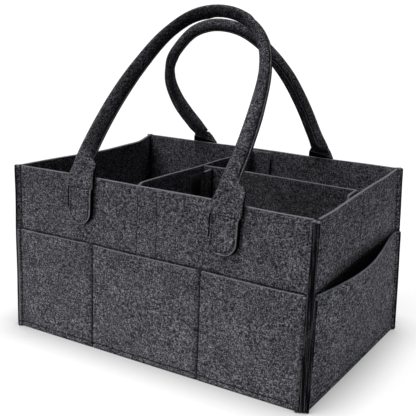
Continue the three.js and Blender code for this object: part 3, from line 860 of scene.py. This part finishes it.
def roll_sections(handle, seed):
    """Rows of points round the roll, from one foot to the other."""
    start, end = ((0.6 * handle["arch"][-foot][0] + 0.4 * handle["feet"][foot], 4.0) for foot in (0, 1))
    line, length = smooth_curve([start, *handle["arch"], end], 241)
    tangent = unit(np.gradient(line, axis=0))
    outline = roll_outline()
    is_lip = np.hypot(*outline.T) > ROLL_RADIUS * 1.04
    # The lip's raw edges are pale, partly the cut felt and partly a painted highlight.
    lip_end = (np.abs(np.abs(outline[:, 0]) - LIP_LAYER) < 0.01) & (outline[:, 1] < -ROLL_RADIUS - 1.25)
    # Painted shade in the crease where the lip leaves the roll and on the lip's tip.
    crease = line_at(np.hypot(np.abs(outline[:, 0]) - LIP_LAYER, outline[:, 1] + ROLL_RADIUS), 0, 0.9)
    crease = np.maximum(crease, outline[:, 1] < 0.3 - ROLL_RADIUS - LIP)
    rng = np.random.default_rng(seed)
    waves = [(rng.uniform(9, 40), rng.uniform(0, 6.28), rng.uniform(0, 6.28)) for _ in range(8)]
    rows, lip_edge_and_highlight, painted_roll_shade = [], [], []
    for k, (centre, way) in enumerate(zip(line, tangent)):
        share = k / (len(line) - 1)
        along = share * length
        from_foot = min(along, length - along)
        turn = math.radians(np.interp(share, *zip(*handle["turn"])))
        flat = 0.4 + 0.6 * smooth(from_foot, 0.0, NECK_LENGTH)
        grown = smooth(from_foot, 4.0, NECK_LENGTH - 2.0)
        x, y = outline.T.copy()
        swell = 1 + sum(np.sin(along / w * 6.28 + p) * np.cos(np.arctan2(x, y) + q)
                        for w, p, q in waves) * 0.006
        x, y = x * swell, y * swell
        y = np.where(is_lip, np.maximum(y, -ROLL_RADIUS - 0.2) * (1 - grown) + y * grown, y)
        out = x * math.cos(turn) - y * math.sin(turn)
        away = (x * math.sin(turn) + y * math.cos(turn)) * flat
        # Painted shade on the side of the roll turned from the light.
        painted_shade = np.interp(share, *zip(*handle["painted_shade"]))
        painted_shade = abs(painted_shade) * smooth(-np.sign(painted_shade) * out / np.hypot(x, y), *handle["painted_shade_from"])
        in_plane, out_of_plane = silhouette(handle, way)
        seen = out * in_plane + away * out_of_plane
        size = 2 * np.interp(share, *zip(*handle["width"])) / np.ptp(seen)
        out = (out - (seen.max() + seen.min()) / 2 / in_plane) * size
        away = away * size
        rows.append(on_handle(handle, centre[0] - way[1] * out, centre[1] + way[0] * out, away))
        lip_edge_and_highlight.append(lip_end * grown)
        painted_roll_shade.append(np.maximum(0.9 * crease, painted_shade * (1 - lip_end)) * grown)
    return np.array(rows), np.array(lip_edge_and_highlight), np.array(painted_roll_shade)


def bend_with_handle(piece, side):
    """Bakes the piece's placement into its mesh; the point worked out on the handle is not used."""
    handle = HANDLES[side]
    end = on_handle(handle, 0.0, np.array(9.0), 0.0) * MM
    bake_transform(piece)


def make_roll(side, seed):
    rows, lip_edge_and_highlight, painted_roll_shade = roll_sections(HANDLES[side], seed)
    count, around = rows.shape[:2]
    faces = tube_faces(count, around)
    if side == "front":
        faces = [face[::-1] for face in faces]
    roll = new_mesh(f"{side}_handle_roll", rows.reshape(-1, 3), faces, {
        "raw_edge_and_highlight": lip_edge_and_highlight.ravel(), "seams_and_shade": painted_roll_shade.ravel(),
    })
    finish_piece(roll, None, felt_handle)
    bend_with_handle(roll, side)
    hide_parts(f"{side}_handle_cover")


def make_tab(side, foot, name):
    """One doubled end of the strip: round below, slanting to the roll on one side above."""
    handle = HANDLES[side]
    away, lean, tip = handle["away"], math.radians(handle["lean"]), handle["tip"]
    centre = handle["feet"][foot]
    roll_x = handle["arch"][-foot][0] - centre
    middle_line, lengths = rounded_path([
        (TAB_OUT, TAB_BOTTOM), (TAB_OUT, BEND_Z),
        (TAB_OUT - tip * math.sin(lean), BEND_Z + tip * math.cos(lean)),
    ], BEND_RADIUS)
    rim = HEIGHT - TAB_BOTTOM
    row = rim - TAB_ROW
    narrow = TAB_WIDTH / 2 - (away * roll_x + EAR_OVERHANG)

    def placed(offset):
        def place(a, h):
            out, z = follow(middle_line, lengths, h)
            below, above = (follow(middle_line, lengths, h + step) for step in (-0.5, 0.5))
            rise_y, rise_z = np.subtract(above, below)
            step = np.maximum(np.hypot(rise_y, rise_z), 1e-6)
            slant = 1 - (1 - np.clip((h - rim) / EAR_RISE, 0, 1)) ** handle["slant"]
            left = narrow * slant - TAB_WIDTH / 2
            reach = handle["reach"][foot] + handle["flare"][foot] * smooth(h, row - 5.0, row + 5.0)
            x = left + (TAB_WIDTH / 2 + reach - left) * a / TAB_WIDTH
            x = x - handle["swing"][foot] * (1 - np.clip(h / rim, 0, 1))
            curl = smooth(h, rim + 1.0, rim + NECK_LENGTH) * (x / (TAB_WIDTH / 2)) ** 2
            push = offset - NECK_CURL * curl
            y = out + push * rise_z / step
            z = z - push * rise_y / step
            return settle(np.stack(np.broadcast_arrays(centre - away * x, away * y, z), -1))
        return place

    across = stations(TAB_WIDTH, coarse=0.7)
    up = stations(lengths[-1], coarse=0.8)
    tab_corners = (TAB_WIDTH / 2 - 0.2, TAB_WIDTH / 2 - 0.2, handle["ear"], 3.0)

    def seams_and_shade(a, h):
        """Stitch lines; painted shade along the upright edge by the wall, and a painted shadow round the
        other upright edge and the bottom with a painted highlight just inside it.
        """
        inside = np.minimum.reduce([a, TAB_WIDTH - a, h])
        groove = 0.5 * line_at(inside, TAB_SEAM, 0.6) * (h < row)
        groove = np.maximum(groove, 0.75 * line_at(h, row, 0.6) * (inside > TAB_SEAM))
        # Painted shade along the upright edge where the tab meets the wall.
        groove = np.maximum(groove, (a < TAB_RIM) & (h > TAB_WIDTH / 2 + 2) & (h < row))
        # Painted shadow in a band round the lower edges, with a painted highlight just inside it.
        under = np.minimum(TAB_WIDTH - a, h)
        lit = (under > TAB_EDGE_SHADOW) & (under < TAB_RIM) & (a > 0.2 * TAB_WIDTH) & (h < row)
        groove = np.where((under < TAB_EDGE_SHADOW) & (a > 0.35 * TAB_WIDTH) & (h < row), 1.0, groove)
        return np.where(lit, -0.9, groove), groove * (a > 2) * (inside > TAB_RIM)

    def shaded(a, h):
        """Painted shade on the inner layer: round its edges in front, and up to a slant behind, with a
        painted highlight along the slant.
        """
        dark = np.minimum(a, TAB_WIDTH - a) < 4.0
        if away > 0:
            past = h - rim - 1.0 - 6.0 * a / TAB_WIDTH
            dark = np.where(past < 0, 1.0, -0.9 * (past < 0.9))
        return 1.0 * dark, 0 * a

    under_off = TAB_OFF - (TAB_LAYER + TAB_UNDER) / 2
    for layer, thick, offset, marks in (("outer", TAB_LAYER, TAB_OFF, seams_and_shade),
                                        ("inner", TAB_UNDER, under_off, shaded)):
        sheet = felt_sheet(f"{name}_{layer}", across, up, placed(offset), tab_corners, thick=thick,
                           rim=0.5, seams_and_shade=marks, pale=0.0)
        finish_piece(sheet, None, felt_handle)
        bend_with_handle(sheet, side)
        if layer == "outer":
            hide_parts(name)
    return placed(TAB_OFF)


tab_places = {}
for side, seed in (("front", 21), ("back", 22)):
    make_roll(side, seed)
    for foot, word in enumerate(("left", "right")):
        name = f"{side}_{word}_tab"
        tab_places[name] = make_tab(side, foot, name)


# Ropes
# Undyed twisted cotton, laid into each roll before its lip is sewn. The felt hides it,
# so its plain solid stays and only gets its material here.
rope = fibre_material(
    "cotton_rope", (0.62, 0.59, 0.53), (0.86, 0.83, 0.77), (2.0,), (1.6,), (3.0, 0.75, 0.95), 0.5)
for side in HANDLES:
    for material_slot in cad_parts[f"{side}_handle_core"].material_slots:
        material_slot.material = rope


# Stitching
# Charcoal thread through the corners, the bottom, the pockets, the tapes and the tabs: one
# short stitch after another, each end pulled down into the felt.
STITCH_PITCH = 3.4
STITCH_LENGTH = 2.6
STITCH_RADIUS = 0.36
STITCH_SIDES = 6
# Along one stitch: [place as a share of its length, height over the felt, how thick].
STITCH_SHAPE = (
    (-0.5, -0.45, 0.35), (-0.36, 0.1, 0.9), (0, 0.26, 1.0), (0.36, 0.1, 0.9), (0.5, -0.45, 0.35),
)

thread = fibre_material(
    "charcoal_thread", (0.06, 0.06, 0.07), (0.15, 0.15, 0.16), (0.6,), (0.3, 1.0), (0.8, 0.45, 0.7), 0.1)


def along_line(values, lengths, at):
    return np.array([np.interp(at, lengths, values[:, i]) for i in range(3)])


def sew(name, rows):
    """rows are (points, facings) of dense lines on the felt; each gets a row of stitches."""
    points, faces = [], []
    stitch_faces = tube_faces(len(STITCH_SHAPE), STITCH_SIDES)
    for line, facing in rows:
        lengths = lengths_along(line)
        count = max(1, int(lengths[-1] // STITCH_PITCH))
        for k in range(count):
            faces += [[len(points) + i for i in face] for face in stitch_faces]
            for step, lift, size in STITCH_SHAPE:
                at = (k + 0.5) * lengths[-1] / count + step * STITCH_LENGTH
                ahead = unit(along_line(line, lengths, at + 0.3) - along_line(line, lengths, at - 0.3))
                up = along_line(facing, lengths, at)
                up = unit(up - ahead * (up @ ahead))
                side = np.cross(ahead, up)
                centre = along_line(line, lengths, at) + up * lift
                for angle in np.linspace(0, 2 * math.pi, STITCH_SIDES, endpoint=False):
                    way = side * math.cos(angle) + up * math.sin(angle)
                    points.append(centre + way * STITCH_RADIUS * size)
    finish_piece(new_mesh(name, points, faces), "shell", thread)


def line_on(place, a, z, out):
    """A line on a sheet's face, 'out' from its middle layer, and the directions it faces."""
    middle, facing = face_out(place, *np.broadcast_arrays(np.asarray(a, float), z))
    return middle + facing * out, facing * np.sign(out)


def outward(side):
    return 1 if side in ("front", "right") else -1


for side in SIDES:
    pocket, _, middle, bends = side_place(side, 1, POCKET_HEIGHT, pocket_push[side])
    wall, _, wall_middle, wall_bends = side_place(side, 0, HEIGHT, wall_push[side])
    out = outward(side) * (FELT / 2 - THREAD_SUNK)
    run = np.linspace(middle + bends[0] + 1, middle + bends[1] - 1, 240)
    rows = [line_on(pocket, run, BOTTOM_SEAM, out)]
    low = np.linspace(BOTTOM_SEAM + 2, POCKET_HEIGHT - 1.5, 80)
    high = np.linspace(POCKET_HEIGHT + 2, HEIGHT - 4, 60)
    for bend, wall_bend in zip(bends, wall_bends):
        past = 0.8 * np.sign(bend)
        rows.append(line_on(pocket, middle + bend + past, low, out))
        rows.append(line_on(wall, wall_middle + wall_bend + past, high, out))
    if side in ("front", "back"):
        rows += [line_on(pocket, middle + seam, low, out) for seam in POCKET_SEAMS]
        line = np.linspace(POCKET_HEIGHT - 20, HEIGHT - 6, 60)
        rows += [line_on(wall, wall_middle + u, line, way * out) for u in TAPE_LINES for way in (1, -1)]
    if side == "right":
        line = np.linspace(POCKET_HEIGHT - 60, SIDE_TAPE_TOP, 80)
        rows += [line_on(wall, wall_middle + u, line, out) for u in SIDE_TAPE_LINES]
        rows.append(line_on(wall, wall_middle + np.linspace(*SIDE_TAPE_LINES, 12), SIDE_TAPE_TOP, out))
    sew(f"{side}_stitching", rows)

for name, place in tab_places.items():
    side = name.split("_")[0]
    rim = HEIGHT - TAB_BOTTOM
    radius = TAB_WIDTH / 2 - TAB_SEAM
    turns = np.linspace(0, math.pi, 40)
    middle = TAB_WIDTH / 2
    a = np.concatenate([[middle + radius], middle + radius * np.cos(turns), [middle - radius]])
    h = np.concatenate([[rim - TAB_ROW], middle - radius * np.sin(turns), [rim - TAB_ROW]])
    a, h = (np.interp(np.linspace(0, 41, 160), np.arange(42), values) for values in (a, h))
    top_a = np.linspace(middle - radius, middle + radius, 30)
    out = TAB_LAYER / 2 - 0.2
    facing = face_out(place, a, h)[1]
    out *= np.sign(facing[0, 1] * HANDLES[side]["away"])
    wall, _, wall_middle, _ = side_place(side, 0, HEIGHT, stay)
    foot = HANDLES[side]["feet"][name.endswith("right_tab")] - middle + wall_middle
    inner = -outward(side) * (FELT / 2 - THREAD_SUNK)
    sew(f"{name}_stitching", [
        line_on(place, a, h, out), line_on(place, top_a, rim - TAB_ROW, out),
        line_on(wall, foot + a, TAB_BOTTOM + h, inner),
        line_on(wall, foot + top_a, HEIGHT - TAB_ROW, inner),
    ])


# Setting
# White paper on the ground and soft studio light from the upper left, set out in metres,
# and the camera where the photograph was taken. The paper darkens only close to the bag.
FLOOR_SIZE = 400.0
PAPER_SEEN = 0.25
PAPER_BOUNCE = 0.2
PAPER_GLOW = 0.86
CONTACT_SHADOW = 0.045
SKY = 0.01
WHITE = grey(1)


def background_mask(tree):
    """1 where a ray comes from the camera, or through a reflection or clear material."""
    rays = node(tree, "ShaderNodeLightPath").outputs
    seen = maths(tree, "MAXIMUM", rays["Is Camera Ray"], rays["Is Glossy Ray"])
    return maths(tree, "MAXIMUM", seen, rays["Is Transmission Ray"])


half = FLOOR_SIZE / 2 / MM
corners = [(-half, -half, 0), (half, -half, 0), (half, half, 0), (-half, half, 0)]
ground = new_mesh("ground", corners, [(0, 1, 2, 3)])
paper = bpy.data.materials.new("white_paper")
tree = empty_tree(paper)
mask = background_mask(tree)
bounced = node(tree, "ShaderNodeBsdfDiffuse", {"Color": grey(PAPER_BOUNCE)})
seen = node(tree, "ShaderNodeBsdfDiffuse", {"Color": grey(PAPER_SEEN)})
paper_light = node(tree, "ShaderNodeMixShader", {0: mask, 1: bounced.outputs[0], 2: seen.outputs[0]})
# Painted contact shadow: ambient occlusion dims the paper's glow close to the bag.
open_sky = node(tree, "ShaderNodeAmbientOcclusion", {"Distance": CONTACT_SHADOW}).outputs["AO"]
strength = maths(tree, "MULTIPLY", mask, maths(tree, "MULTIPLY", open_sky, PAPER_GLOW))
glow = node(tree, "ShaderNodeEmission", {"Color": WHITE, "Strength": strength})
both = node(tree, "ShaderNodeAddShader", {0: paper_light.outputs[0], 1: glow.outputs[0]})
node(tree, "ShaderNodeOutputMaterial", {"Surface": both.outputs[0]})
ground.data.materials.append(paper)

world = bpy.data.worlds.new("studio")
bpy.context.scene.world = world
tree = empty_tree(world)
sky = node(tree, "ShaderNodeBackground", {"Color": WHITE, "Strength": SKY})
backdrop = node(tree, "ShaderNodeBackground", {"Color": WHITE, "Strength": 1.0})
chosen = node(tree, "ShaderNodeMixShader", {
    0: background_mask(tree), 1: sky.outputs[0], 2: backdrop.outputs[0],
})
node(tree, "ShaderNodeOutputWorld", {"Surface": chosen.outputs[0]})


def add_lamp(name, kind, place, turned, **settings):
    """A lamp that the camera doesn't see."""
    lamp = bpy.data.lights.new(name, kind)
    for key, value in settings.items():
        setattr(lamp, key, value)
    made = new_object(name, lamp)
    made.location, made.rotation_euler = place, turned
    made.visible_camera = False


def soft_light(name, azimuth, elevation, spread, strength):
    """Even light from one side of the sky, azimuth to the right of the front."""
    turned = (math.pi / 2 - math.radians(elevation), 0, math.radians(azimuth))
    add_lamp(name, "SUN", (0, 0, 2), turned, angle=math.radians(spread), energy=strength)


def white_card(name, x, y, width, depth, strength):
    """A sheet of white board on the floor that throws light back up at the felt."""
    add_lamp(name, "AREA", (x, y, 0.002), (math.pi, 0, 0), shape="RECTANGLE",
             size=width, size_y=depth, energy=strength * math.pi * width * depth)


def soft_box(name, azimuth, width, low, high, strength):
    """An upright light box a metre away with a grid, so that it lights the bag below the handles."""
    turn = math.radians(azimuth)
    place = (math.sin(turn), -math.cos(turn), (low + high) / 2)
    add_lamp(name, "AREA", place, (math.pi / 2, 0, turn), shape="RECTANGLE",
             size=width, size_y=high - low, energy=strength, spread=math.radians(24))


soft_light("overhead", -30, 66, 40, 1.65)
soft_light("front_left", -25, 48, 40, 0.72)
soft_light("behind", 120, 45, 40, 0.29)
soft_box("left_box", -30, 0.7, -0.02, 0.16, 0.2)
soft_box("right_box", 90, 0.4, -0.02, 0.16, 0.17)
white_card("front_card", -0.12, -0.25, 0.6, 0.26, 0.62)
white_card("right_card", 0.33, 0.06, 0.28, 0.5, 0.08)

CAMERA_PLACE = (0.42422, -0.72793, 0.36426)
CAMERA_ROLL = 1.66
camera = bpy.data.cameras.new("camera")
camera.sensor_width = 36.0
camera.lens = 69.17
camera.shift_y = -0.0601
camera.clip_start = 0.05
camera_object = new_object("camera", camera)
turn, tilt, roll = (math.radians(angle) for angle in (*SEEN_FROM, CAMERA_ROLL))
camera_object.matrix_world = (
    Matrix.Translation(CAMERA_PLACE) @ Matrix.Rotation(turn, 4, "Z")
    @ Matrix.Rotation(math.pi / 2 - tilt, 4, "X") @ Matrix.Rotation(roll, 4, "Z"))
bpy.context.scene.camera = camera_object
bpy.context.scene.view_settings.view_transform = "Standard"
